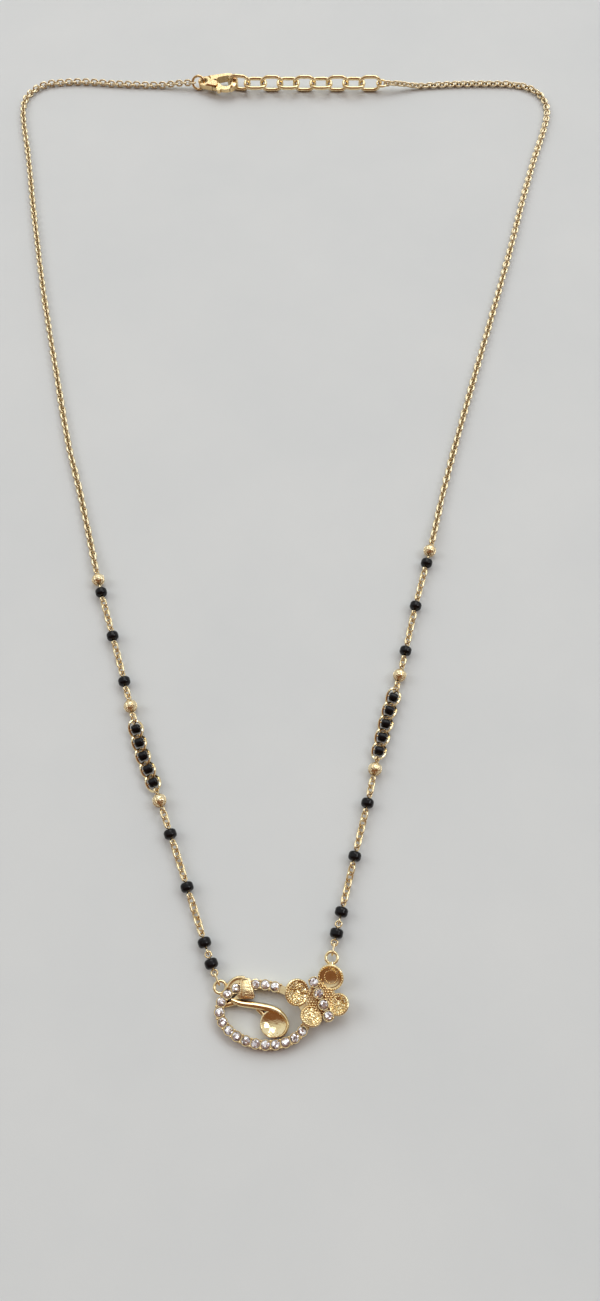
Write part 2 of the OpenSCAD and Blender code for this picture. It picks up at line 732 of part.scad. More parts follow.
module pocket(d) {
    depth = pavilion_share * d + stone_gap;
    translate([0, 0, -depth]) cylinder(d1 = pocket_tip_d, d2 = d + 2 * stone_gap, h = depth);
    cylinder(d = d + 2 * stone_gap, h = pocket_open);
}

module frame_seats() {
    for (i = stone_seats)
        translate(raised(seat_at(i), seat_foot_z)) cylinder(d = seat_d, h = seat_h - seat_foot_z);
}

module frame_pockets() {
    for (i = stone_seats) translate(raised(seat_at(i), seat_h)) pocket(frame_stone_d);
}

module frame_prongs() {
    for (i = [0:oval_stones - 1], side = [-1, 1])
        if (has_stone(i) || has_stone((i + oval_stones - 1) % oval_stones)) {
            between = i + oval_stones - 0.5;
            at = seat_at(between) + out_from(between) * side * (frame_stone_d / 2 - prong_grip);
            top = seat_h + prong_rise;
            translate(raised(at, prong_foot_z)) cylinder(d = prong_d, h = top - prong_foot_z);
            translate(raised(at, top)) sphere(d = prong_d);
        }
}

module pendant_rings() {
    for (at = [left_ring_at, right_ring_at]) translate(raised(at, strand_z)) torus(ring_r, ring_wire);
    translate(raised(right_petal_at, strand_z))
        rotate([0, 0, right_ring_turn])
            rotate([0, 90, 0]) cylinder(d = ring_arm_d, h = large_petal_d / 2 + ring_bite + ring_wire / 2);
}

module scroll_bar() {
    half_h = (scroll_h - scroll_foot_z) / 2;
    tube(
        smooth([for (row = scroll) raised(in_oval(row[SCROLL_AT]), scroll_foot_z + half_h)], 2),
        smooth([for (row = scroll) scroll_w / 2 * row[SCROLL_W]], 2),
        smooth([for (row = scroll) half_h * lerp(scroll_low_share, 1, row[SCROLL_W])], 2),
        scroll_sides
    );
}

module scroll_foot() {
    a = raised(in_oval(scroll[1][SCROLL_AT]), frame_h / 2);
    b = raised(oval_point(scroll_foot_turn), frame_h / 2);
    from_to(a, b) rotate([0, 90, 0]) cylinder(d = scroll_foot_d, h = norm(b - a));
}

module dish() {
    hollow_r = dish_d / 2 - dish_rim;
    ball = (hollow_r * hollow_r + dish_depth * dish_depth) / (2 * dish_depth);
    at = in_oval(dish_at);
    translate(raised(at, 0))
        difference() {
            cylinder(d = dish_d, h = dish_h);
            translate([0, 0, dish_h + ball - dish_depth]) sphere(ball, $fn = 96);
        }
    // The strut that steadies the dish against the scroll
    translate(raised(at, strut_z))
        rotate([0, 0, strut_turn])
            translate([dish_d / 2 - strut_bite, 0, 0]) rotate([0, 90, 0]) cylinder(d = strut_d, h = strut_l);
}

// The fan's outline, in by a margin: a straight foot and sides, and a round top
module fan_outline(margin, low, high) {
    intersection() {
        translate([0, 0, low])
            linear_extrude(high - low)
                polygon([
                    [margin, margin],
                    [fan_foot - margin * (1 + fan_lean), margin],
                    [fan_foot - margin * (1 + fan_lean) - fan_lean * 1.1 * fan_l, 1.1 * fan_l],
                    [margin, 1.1 * fan_l]
                ]);
        translate([0.3 * fan_foot, 0.42 * fan_l, low]) cylinder(r = 0.58 * fan_l - margin, h = high - low);
    }
}

module fan() {
    dome_at = [0.4 * fan_foot, 0.45 * fan_l, fan_h - fan_ball];
    translate(raised(in_oval(fan_at), 0))
        difference() {
            intersection() {
                fan_outline(0, fan_low_z, fan_h);
                translate(dome_at) sphere(fan_ball, $fn = 96);
            }
            difference() {
                fan_outline(fan_border, 2 * fan_low_z, 2 * fan_h);
                translate(dome_at) sphere(fan_ball - fan_recess, $fn = 96);
            }
        }
    translate(raised(in_oval(fan_at), fan_low_z))
        linear_extrude(skirt_h - fan_low_z)
            polygon([[-fan_skirt, 0], [fan_border, 0], [fan_border, skirt_share * fan_l]]);
}

// The leaf behind the fan: a plate that the frame's stones cross, and a round rim outside them
module leaf() {
    rim_h = leaf_h - leaf_low_z - leaf_rim / 2;
    translate(raised(in_oval(leaf_at), leaf_low_z)) {
        rotate([0, 0, leaf_from])
            rotate_extrude(angle = leaf_to - leaf_from) {
                square([leaf_r, leaf_plate_h]);
                translate([leaf_r - leaf_rim / 2, 0]) square([leaf_rim, rim_h]);
                translate([leaf_r, rim_h]) circle(d = leaf_rim);
            }
        translate(raised(leaf_r * direction(leaf_to), 0)) {
            cylinder(d = leaf_rim, h = rim_h);
            translate([0, 0, rim_h]) sphere(d = leaf_rim);
        }
    }
}

module petal(d) {
    hollow_r = d / 2 - 0.85 * petal_rim;
    ball = (hollow_r * hollow_r + petal_depth * petal_depth) / (2 * petal_depth);
    difference() {
        union() {
            translate([0, 0, -petal_h]) cylinder(d1 = 0.62 * d, d2 = d - petal_rim, h = petal_h);
            torus((d - petal_rim) / 2, petal_rim);
        }
        translate([0, 0, ball - petal_depth + petal_rim_rise]) sphere(ball, $fn = 96);
    }
}

module flower() {
    translate(raised(flower_mid, core_z)) cylinder(d = core_d, h = core_h);
    for (row = petals)
        translate(raised(petal_at(row), petal_z))
            rotate([0, -petal_tilt, row[PETAL_TURN]])
                petal(row[PETAL_D]);
}

module petal_seats() {
    for (k = [0:3]) {
        at = petal_stone_at(k);
        prong_h = petal_seat_z + petal_prong_rise - petal_prong_foot_z;
        translate(raised(at, petal_seat_foot_z))
            cylinder(d1 = petal_seat_foot_d, d2 = petal_seat_d, h = petal_seat_z - petal_seat_foot_z);
        for (turn = [45:90:315])
            translate(raised(at, petal_prong_foot_z))
                rotate([0, 0, stone_line + turn])
                    translate([petal_seat_d / 2 - petal_prong_inset, 0, 0]) {
                        cylinder(d = prong_d, h = prong_h);
                        translate([0, 0, prong_h]) sphere(d = prong_d);
                    }
    }
}

module pendant_body() {
    color([0.87, 0.69, 0.33])
        difference() {
            union() {
                oval_band();
                frame_seats();
                frame_prongs();
                pendant_rings();
                scroll_bar();
                scroll_foot();
                dish();
                fan();
                leaf();
                flower();
                petal_seats();
            }
            frame_pockets();
            for (k = [0:3]) translate(raised(petal_stone_at(k), petal_seat_z)) pocket(petal_stone_d);
        }
}

// The lobster clasp, drawn in plan from the middle of the tail's hole with its claw along X
module drop_outline(r1, at1, r2, at2, h) {
    step = at2 - at1;
    lean = asin((r2 - r1) / norm(step));
    turn = atan2(step.y, step.x);
    translate(raised(at1, 0)) cylinder(r = r1, h = h, center = true);
    translate(raised(at2, 0)) cylinder(r = r2, h = h, center = true);
    linear_extrude(h, center = true)
        polygon([
            at1 + direction(turn + 90 + lean) * r1,
            at1 + direction(turn - 90 - lean) * r1,
            at2 + direction(turn - 90 - lean) * r2,
            at2 + direction(turn + 90 + lean) * r2
        ]);
}

module clasp_outline(t) {
    hull()
        for (step = [[0, 0, tail_d / 2], [claw_x, 0, claw_r]])
            translate([step[0], step[1], 0]) {
                cylinder(r = step[2], h = t - 2 * clasp_bevel, center = true);
                cylinder(r = step[2] - clasp_bevel, h = t, center = true);
            }
}

module clasp_mouth() {
    neck_at = [claw_x - mouth_neck_back, mouth_neck_side];
    drop_outline(mouth_neck_r, neck_at, mouth_r, [claw_x, 0], 3 * clasp_t);
}

module at_pivot() {
    translate(raised(pivot_at, 0)) children();
}

// The side of the clasp that the lever closes, out to a reach from the pivot and up to a line above it
module lever_side(reach, top, h, back = 0) {
    intersection() {
        at_pivot() cylinder(r = reach, h = h, center = true);
        translate([pivot_at.x - back, pivot_at.y + top - clasp_w, -h]) cube([clasp_l, clasp_w, 2 * h]);
    }
}

module clasp_body() {
    slot_h = lever_t + 2 * lever_gap;
    color([0.8, 0.66, 0.36])
        in_clasp() {
            difference() {
                clasp_outline(clasp_t);
                clasp_mouth();
                cylinder(d = tail_hole, h = 3 * clasp_t, center = true);
                for (side = [-1, 1])
                    translate([0, 0, side * (tail_t + clasp_t) / 2])
                        cylinder(r = tail_d / 2 + tail_shoulder, h = clasp_t, center = true);
                at_pivot() cylinder(d = lever_root_d + 2 * lever_gap, h = slot_h, center = true);
                lever_side(lever_l + lever_gap, slot_top, slot_h, lever_gap);
                // The cheeks end round ahead of the pivot
                difference() {
                    lever_side(lever_l + lever_gap, cheek_top, 3 * clasp_t);
                    at_pivot() cylinder(r = cheek_r, h = 4 * clasp_t, center = true);
                    translate([pivot_at.x - clasp_w, -clasp_w, -2 * clasp_t])
                        cube([clasp_w, 2 * clasp_w, 4 * clasp_t]);
                }
            }
            at_pivot() cylinder(d = pivot_d, h = slot_h + 2 * pivot_head, center = true);
        }
}

module clasp_lever() {
    color([0.8, 0.66, 0.36])
        in_clasp()
            difference() {
                union() {
                    intersection() {
                        clasp_outline(clasp_t);
                        lever_side(lever_l, lever_top, lever_t);
                        difference() {
                            cube([4 * clasp_l, 4 * clasp_w, lever_t], center = true);
                            clasp_mouth();
                        }
                    }
                    at_pivot() cylinder(d = lever_root_d, h = lever_t, center = true);
                    at_pivot() translate(raised(lever_elbow_at, 0))
                        cylinder(d = lever_elbow_d, h = lever_t, center = true);
                }
                at_pivot() cylinder(d = pivot_d + 2 * pivot_gap, h = 2 * clasp_t, center = true);
            }
}

module in_clasp() {
    translate(raised(tail_at, clasp_ring_z)) rotate([0, clasp_pitch, clasp_yaw]) children();
}

module clasp_ring() {
    color([0.8, 0.66, 0.36])
        translate([clasp_ring_x, tail_at.y, clasp_ring_z])
            rotate([clasp_ring_roll, 0, 0]) torus(clasp_ring_r, clasp_ring_wire);
}

module extender_chain() {
    color([0.8, 0.66, 0.36])
        for (k = [0:extender_n - 1])
            translate([extender_x + k * extender_step + extender_half, top_y, hook_z])
                rotate([extender_roll(k), 0, k == 0 ? hook_yaw : 0])
                    translate([-extender_half, 0, 0]) oval_link(extender_half, extender_r, extender_wire);
}

module extender_ring() {
    color([0.8, 0.66, 0.36])
        translate([end_ring_x, top_y, hook_z])
            rotate([extender_roll(extender_n - 1) + 90, 0, 0]) torus(end_ring_r, end_ring_wire);
}

pendant_body();
frame_stones();
petal_stones();
for (side = sides) {
    bead_chain(side);
    eye_pins(side);
    cage_links(side);
    for (i = [1:len(black_places)])
        black_bead_of(side, i);
    for (i = [1:cage_n])
        caged_bead_of(side, i);
    for (i = [1:len(gold_places)])
        gold_bead_of(side, i);
    plain_chain(side);
}
clasp_body();
clasp_lever();
clasp_ring();
extender_chain();
extender_ring();
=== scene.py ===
"""A gold chain necklace with black beads and a stone-set pendant, dressed over its CAD frame."""
import math
import random

import bpy
import numpy as np
from mathutils import Matrix, Vector
from mathutils.geometry import delaunay_2d_cdt


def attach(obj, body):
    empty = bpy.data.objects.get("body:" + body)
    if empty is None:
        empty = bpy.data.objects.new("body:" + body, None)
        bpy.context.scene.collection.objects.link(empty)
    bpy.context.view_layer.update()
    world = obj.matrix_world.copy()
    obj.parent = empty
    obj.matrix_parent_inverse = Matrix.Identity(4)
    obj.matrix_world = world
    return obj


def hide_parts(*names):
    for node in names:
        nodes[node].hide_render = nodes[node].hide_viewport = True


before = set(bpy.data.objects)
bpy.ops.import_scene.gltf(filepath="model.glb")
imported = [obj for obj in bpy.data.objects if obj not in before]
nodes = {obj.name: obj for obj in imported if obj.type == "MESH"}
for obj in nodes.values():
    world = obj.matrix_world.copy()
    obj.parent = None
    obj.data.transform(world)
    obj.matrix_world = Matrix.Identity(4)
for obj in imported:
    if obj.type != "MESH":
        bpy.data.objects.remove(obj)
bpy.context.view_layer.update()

# The strands' routes, from the pendant's rings to the rings at the top
LEFT_ROUTE = [
    (-0.008496, -0.094686), (-0.010, -0.0912), (-0.014, -0.0802), (-0.017, -0.072),
    (-0.0202, -0.0635), (-0.0224, -0.0585), (-0.0246, -0.051), (-0.0288, -0.0374),
    (-0.0316, -0.0285), (-0.0338, -0.0205), (-0.0373, -0.0075), (-0.0405, 0.0035),
    (-0.0444, 0.0202), (-0.0486, 0.0386), (-0.0515, 0.053), (-0.0538, 0.065),
    (-0.0562, 0.0785), (-0.0582, 0.088), (-0.0591, 0.094), (-0.0586, 0.098),
    (-0.056, 0.1013), (-0.052, 0.1026), (-0.045, 0.1028), (-0.036, 0.102),
    (-0.02151, 0.101504),
]
RIGHT_ROUTE = [
    (0.008104, -0.090482), (0.009, -0.0864), (0.0118, -0.0756), (0.0141, -0.0668),
    (0.0162, -0.0582), (0.018, -0.0515), (0.0203, -0.0442), (0.0237, -0.0306),
    (0.0268, -0.0195), (0.0306, -0.0045), (0.0364, 0.0155), (0.042, 0.0342),
    (0.0468, 0.0505), (0.0512, 0.0665), (0.0546, 0.078), (0.0574, 0.0865),
    (0.059, 0.093), (0.0584, 0.0978), (0.0556, 0.1008), (0.051, 0.1021),
    (0.041, 0.1022), (0.032, 0.1016), (0.02333, 0.1006),
]
# Steps of the smooth curve between two points of a route
SPAN_STEPS = 6
# Distance along a route at which the last bead's eye takes the plain chain
STRAND_END = 0.07411

# Cable links: outer size, wire, spacing and play, and how finely a link is meshed
LINK_LENGTH = 0.00184
LINK_WIDTH = 0.00148
LINK_WIRE = 0.00039
LINK_STEP = 0.00098
LINK_PLAY = 0.0001
LINK_STATIONS = 28
WIRE_SIDES = 10
# Degrees that the first link is rolled, and that the others may stray
FIRST_ROLL = 135
LINK_WOBBLE = 11

# Heights of a plain chain's middle: on the surface, at the last eye, and the way down between them
CHAIN_Z = 0.00055
STRAND_Z = 0.00113
CHAIN_RAMP = 0.009

# Rings that the plain chains end on: wire, height of the middle, roll of a link that hooks square to it
CLASP_RING_WIRE = 0.00055
CLASP_RING_Z = 0.001445
CLASP_HOOK_ROLL = 152
END_RING_WIRE = 0.00045
END_RING_Z = 0.00195
END_HOOK_ROLL = 90
RING_GAP = 0.00012

# The petals: where the bowl's rim is centred, width over the rim, and turn about Z
PETALS = {
    "left": ((0.0029, -0.0955), 0.0039, 165),
    "top": ((0.0079, -0.0934), 0.0039, 64),
    "right": ((0.0090, -0.0972), 0.0033, -17),
    "low": ((0.0050, -0.09885), 0.0033, 240),
}
# A petal's height, tilt in degrees and rim, how deep its bowl is, and how high the bowl's edge stands
PETAL_Z = 0.0021
PETAL_TILT = 26
PETAL_RIM = 0.00042
PETAL_DEPTH = 0.00045
PETAL_RISE = 0.0001
# Share of the rim that stands outside a petal's hollow
RIM_OUTSIDE = 0.85
# The beads along a petal's rim: radius, spacing, how far they sink in, and the sizes they vary between
BEAD_R = 0.00015
BEAD_STEP = 0.00036
BEAD_SINK = 0.00004
BEAD_SIZES = (0.85, 1.1)
# The ring of beads inside a petal that isn't cut
INNER_RING_R = 0.00098
INNER_BEAD_R = 0.00011
# Rows and columns of the faces on a bead
BALL_ROWS = 6
BALL_COLUMNS = 10
# The cut petals' facets: spacing, how far their points stray and stand up, and how far the edge sinks in
CUT_PETALS = ("left", "right", "low")
CUT_ROWS = 8
CUT_STEP = 0.00048
CUT_STRAY = 0.0001
CUT_LIFT = 0.00002
CUT_RISE = 0.00021
CUT_SINK = 0.00005
CUT_EDGE_POINTS = 32
# Corners nearer than this would be taken as one
CUT_MERGE = 1e-9

# The fan and the dish, which have a finish of their own, and the width over which it fades out
FAN_AT = (-0.0044, -0.0948, 0.0024)
FAN_R = 0.0017
DISH_AT = (-0.00052, -0.0998, 0.0012)
DISH_R = 0.0018
FINISH_FADE = 0.0004

# The grains between the petals: their plate, spacing and size, and the stones that they leave room for
CORE_AT = (0.00645, -0.09645)
CORE_R = 0.0021
GRAIN_ROWS = 6
GRAIN_Z = 0.00155
GRAIN_R = 0.0002
GRAIN_SIZES = (0.8, 1.1)
GRAIN_STEP = 0.00042
PETAL_STONES = [
    (0.00540, -0.09409), (0.00610, -0.09566), (0.00680, -0.09724), (0.00750, -0.09881),
]
SEAT_R = 0.00075

# A Mix node's inputs and output for colours
MIX_FACTOR = 0
MIX_A = 6
MIX_B = 7
MIX_RESULT = 2

# The room's tone in front of the necklace and behind it, and how far back the one turns to the other
ROOM_FRONT = (0.2, 0.095, 0.05)
ROOM_BACK = (0.74, 0.75, 0.75)
ROOM_TURN = (-0.45, 0.35)
# Half the side of the floor
FLOOR_REACH = 3

# The photograph's viewpoint
CAMERA_AT = (0.00335, -0.1094, 0.157)
CAMERA_TILT = 24
CAMERA_LENS = 27.67
CAMERA_NEAR = 0.001


def add_mesh(name, points, faces, material, smooth=True):
    """A new object of these points and faces."""
    mesh = bpy.data.meshes.new(name)
    mesh.from_pydata(points, [], faces)
    mesh.polygons.foreach_set("use_smooth", [smooth] * len(mesh.polygons))
    mesh.materials.append(material)
    piece = bpy.data.objects.new(name, mesh)
    bpy.context.scene.collection.objects.link(piece)
    return piece


def shifted(faces, first):
    """The faces of a copy whose points start at first."""
    return [tuple(i + first for i in face) for face in faces]


def triangle_grid(rows, step):
    """The corners of a grid of equal triangles, that many rows each way from the origin."""
    reach = range(-rows, rows + 1)
    return [(step * (i + k / 2), step * k * math.sqrt(3) / 2) for i in reach for k in reach]


def smooth_line(points):
    """The points joined by a smooth curve, with its arc lengths."""
    p = np.array(points)
    out = []
    for i in range(len(p) - 1):
        a, b, c, d = p[max(i - 1, 0)], p[i], p[i + 1], p[min(i + 2, len(p) - 1)]
        for t in np.arange(SPAN_STEPS) / SPAN_STEPS:
            bend = 2 * b + (c - a) * t
            bend += (2 * a - 5 * b + 4 * c - d) * t**2
            bend += (3 * b - a - 3 * c + d) * t**3
            out.append(0.5 * bend)
    out.append(p[-1])
    line = np.array(out)
    steps = np.linalg.norm(np.diff(line, axis=0), axis=1)
    return line, np.concatenate([[0], np.cumsum(steps)])


def ramp(u):
    """1 at u = 0, going smoothly down to 0 at u = 1 and past it."""
    return (1 - u) ** 2 * (1 + 2 * u) if u < 1 else 0


def chain_place(line, lengths, s, end_z):
    """The point of a plain chain's middle line at distance s, which goes on straight past the end."""
    last = lengths[-1]
    inside = min(s, last)
    x = np.interp(inside, lengths, line[:, 0])
    y = np.interp(inside, lengths, line[:, 1])
    heading = line[-1] - line[-2]
    past = heading / np.linalg.norm(heading) * (s - inside)
    z = CHAIN_Z + (STRAND_Z - CHAIN_Z) * ramp((s - STRAND_END) / CHAIN_RAMP)
    z += (end_z - CHAIN_Z) * ramp((last - inside) / CHAIN_RAMP)
    return Vector((x + past[0], y + past[1], z))


def link_form():
    """One cable link round the origin, with its length along X: points and faces."""
    r = (LINK_WIDTH - LINK_WIRE) / 2
    half = (LINK_LENGTH - LINK_WIRE) / 2
    points = []
    for i in range(LINK_STATIONS):
        angle = 2 * math.pi * i / LINK_STATIONS
        out = Vector((math.cos(angle), math.sin(angle), 0))
        side = 1 if out.x > 0 else -1
        centre = Vector((side * (half - r), 0, 0)) + out * r
        for k in range(WIRE_SIDES):
            turn = 2 * math.pi * k / WIRE_SIDES
            lift = Vector((0, 0, math.sin(turn)))
            points.append(centre + (out * math.cos(turn) + lift) * LINK_WIRE / 2)
    faces = []
    for i in range(LINK_STATIONS):
        a = i * WIRE_SIDES
        b = ((i + 1) % LINK_STATIONS) * WIRE_SIDES
        for k in range(WIRE_SIDES):
            m = (k + 1) % WIRE_SIDES
            faces.append((a + k, b + k, b + m, a + m))
    return points, faces


def link_matrix(a, b, roll):
    """Puts a link from a to b and rolls it about that way."""
    way = (b - a).normalized()
    across = Vector((0, 0, 1)).cross(way).normalized()
    turn = Matrix((way, across, way.cross(across))).transposed()
    turn = turn @ Matrix.Rotation(math.radians(roll), 3, "X")
    return Matrix.Translation((a + b) / 2) @ turn.to_4x4()


def lifted(point, roll):
    """The point, raised where a link rolled that far would reach below the surface."""
    reach = (LINK_WIDTH - LINK_WIRE) / 2 * abs(math.sin(math.radians(roll))) + LINK_WIRE / 2
    return Vector((point.x, point.y, max(point.z, reach)))


def link_count(room, hook_roll):
    """How many links fill the room, where the last one has to hook into its ring."""
    count = round(room / LINK_STEP) + 1
    # The roll goes up a right angle a link, so the count's parity decides how the last one hooks in
    if (FIRST_ROLL + 90 * (count - 1) - hook_roll + 45) % 180 > 90:
        count += 1
    return count


def link_rolls(side, count, hook_roll):
    """Each link's roll: a right angle past the last one's, a share of the spare turn, and some wobble."""
    chance = random.Random(f"chain {side}")
    last_roll = FIRST_ROLL + 90 * (count - 1)
    spare = (hook_roll - last_roll + 90) % 180 - 90
    rolls = []
    for k in range(count):
        wobble = chance.uniform(-LINK_WOBBLE, LINK_WOBBLE) if 0 < k < count - 1 else 0
        rolls.append(FIRST_ROLL + 90 * k + spare * k / (count - 1) + wobble)
    return rolls


def plain_chain(side, route, ring_wire, end_z, hook_roll, material):
    """The links that stand for a plain chain's tube, from the last eye to the ring at the top."""
    line, lengths = smooth_line(route)
    span = LINK_LENGTH - LINK_WIRE
    hook = lengths[-1] + RING_GAP + ring_wire + LINK_WIRE / 2 + LINK_PLAY
    room = hook - STRAND_END - span
    count = link_count(room, hook_roll)
    step = room / (count - 1)
    form, loop = link_form()
    points = []
    faces = []
    for k, roll in enumerate(link_rolls(side, count, hook_roll)):
        s = STRAND_END + k * step
        a = chain_place(line, lengths, s, end_z)
        b = chain_place(line, lengths, s + span, end_z)
        place = link_matrix(lifted(a, roll), lifted(b, roll), roll)
        faces += shifted(loop, len(points))
        points += [place @ p for p in form]
    piece = add_mesh(f"cable_links_{side}", points, faces, material)
    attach(piece, "necklace")
    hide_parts(f"plain_chain_{side}")


def ball_form():
    """A ball of radius 1 round the origin: points and faces."""
    points = [Vector((0, 0, 1))]
    for i in range(1, BALL_ROWS):
        lift = math.pi * i / BALL_ROWS
        flat = math.sin(lift)
        for k in range(BALL_COLUMNS):
            turn = 2 * math.pi * k / BALL_COLUMNS
            points.append(Vector((flat * math.cos(turn), flat * math.sin(turn), math.cos(lift))))
    points.append(Vector((0, 0, -1)))
    top = 1
    low = top + (BALL_ROWS - 2) * BALL_COLUMNS
    faces = []
    for k in range(BALL_COLUMNS):
        faces.append((0, top + k, top + (k + 1) % BALL_COLUMNS))
    for a in range(top, low, BALL_COLUMNS):
        b = a + BALL_COLUMNS
        for k in range(BALL_COLUMNS):
            m = (k + 1) % BALL_COLUMNS
            faces.append((a + k, b + k, b + m, a + m))
    for k in range(BALL_COLUMNS):
        faces.append((low + k, len(points) - 1, low + (k + 1) % BALL_COLUMNS))
    return points, faces


def ball_row(name, balls, material):
    """Small gold balls, given by middle and radius, as one piece on the pendant."""
    form, skin = ball_form()
    points = []
    faces = []
    for middle, size in balls:
        faces += shifted(skin, len(points))
        points += [middle + p * size for p in form]
    piece = add_mesh(name, points, faces, material)
    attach(piece, "necklace")


def petal_place(at, turn):
    """The frame of a petal, with its bowl's axis along Z."""
    tilt = Matrix.Rotation(math.radians(-PETAL_TILT), 4, "Y")
    lean = Matrix.Rotation(math.radians(turn), 4, "Z") @ tilt
    return Matrix.Translation((*at, PETAL_Z)) @ lean


def petal_hollow(width):
    """Radius of a petal's hollow."""
    return width / 2 - RIM_OUTSIDE * PETAL_RIM


def bowl_z(r, hollow):
    """Height of a petal's bowl at distance r from its axis."""
    ball = (hollow**2 + PETAL_DEPTH**2) / (2 * PETAL_DEPTH)
    return ball - PETAL_DEPTH + PETAL_RISE - math.sqrt(ball**2 - r**2)


def bead_ring(name, place, reach, height, size, material):
    """A ring of small beads round a petal's axis."""
    count = round(2 * math.pi * reach / (BEAD_STEP * size / BEAD_R))
    chance = random.Random(name)
    balls = []
    for k in range(count):
        angle = 2 * math.pi * k / count
        middle = Vector((reach * math.cos(angle), reach * math.sin(angle), height))
        balls.append((place @ middle, size * chance.uniform(*BEAD_SIZES)))
    ball_row(f"petal_beads_{name}", balls, material)


def petal_cuts(name, place, width, material):
    """The facets that line a cut petal's bowl, with their edge sunk into its rim."""
    hollow = petal_hollow(width)
    chance = random.Random(f"cuts {name}")
    flat = []
    heights = []
    for x, y in triangle_grid(CUT_ROWS, CUT_STEP):
        x += chance.uniform(-CUT_STRAY, CUT_STRAY)
        y += chance.uniform(-CUT_STRAY, CUT_STRAY)
        r = math.hypot(x, y)
        if r < hollow - CUT_STEP / 2:
            flat.append(Vector((x, y)))
            heights.append(bowl_z(r, hollow) + CUT_LIFT + chance.uniform(0, CUT_RISE))
    for k in range(CUT_EDGE_POINTS):
        angle = 2 * math.pi * k / CUT_EDGE_POINTS
        flat.append(Vector((math.cos(angle), math.sin(angle))) * (hollow + CUT_SINK))
        heights.append(bowl_z(hollow, hollow))
    # The fourth value, 0, asks for triangles over all that lies inside the outermost points
    faces = delaunay_2d_cdt(flat, [], [], 0, CUT_MERGE)[2]
    points = [place @ Vector((*p, z)) for p, z in zip(flat, heights)]
    piece = add_mesh(f"petal_cuts_{name}", points, faces, material, smooth=False)
    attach(piece, "necklace")


def dress_petal(name, at, width, turn, material, cut_material):
    """Beads on a petal's rim, and cut facets or a ring of beads in its bowl."""
    place = petal_place(at, turn)
    bead_ring(name, place, (width - PETAL_RIM) / 2, PETAL_RIM / 2 - BEAD_SINK, BEAD_R, material)
    if name in CUT_PETALS:
        petal_cuts(name, place, width, cut_material)
    else:
        height = bowl_z(INNER_RING_R, petal_hollow(width))
        bead_ring(f"{name}_inner", place, INNER_RING_R, height, INNER_BEAD_R, material)


def core_grains(material):
    """Grains over the plate between the petals, clear of the stones' seats."""
    chance = random.Random("grains")
    balls = []
    for x, y in triangle_grid(GRAIN_ROWS, GRAIN_STEP):
        at = Vector((CORE_AT[0] + x, CORE_AT[1] + y, GRAIN_Z))
        room = min((at.xy - Vector(stone)).length for stone in PETAL_STONES)
        size = GRAIN_R * chance.uniform(*GRAIN_SIZES)
        if math.hypot(x, y) < CORE_R and room > SEAT_R:
            balls.append((at, size))
    ball_row("core_grains", balls, material)


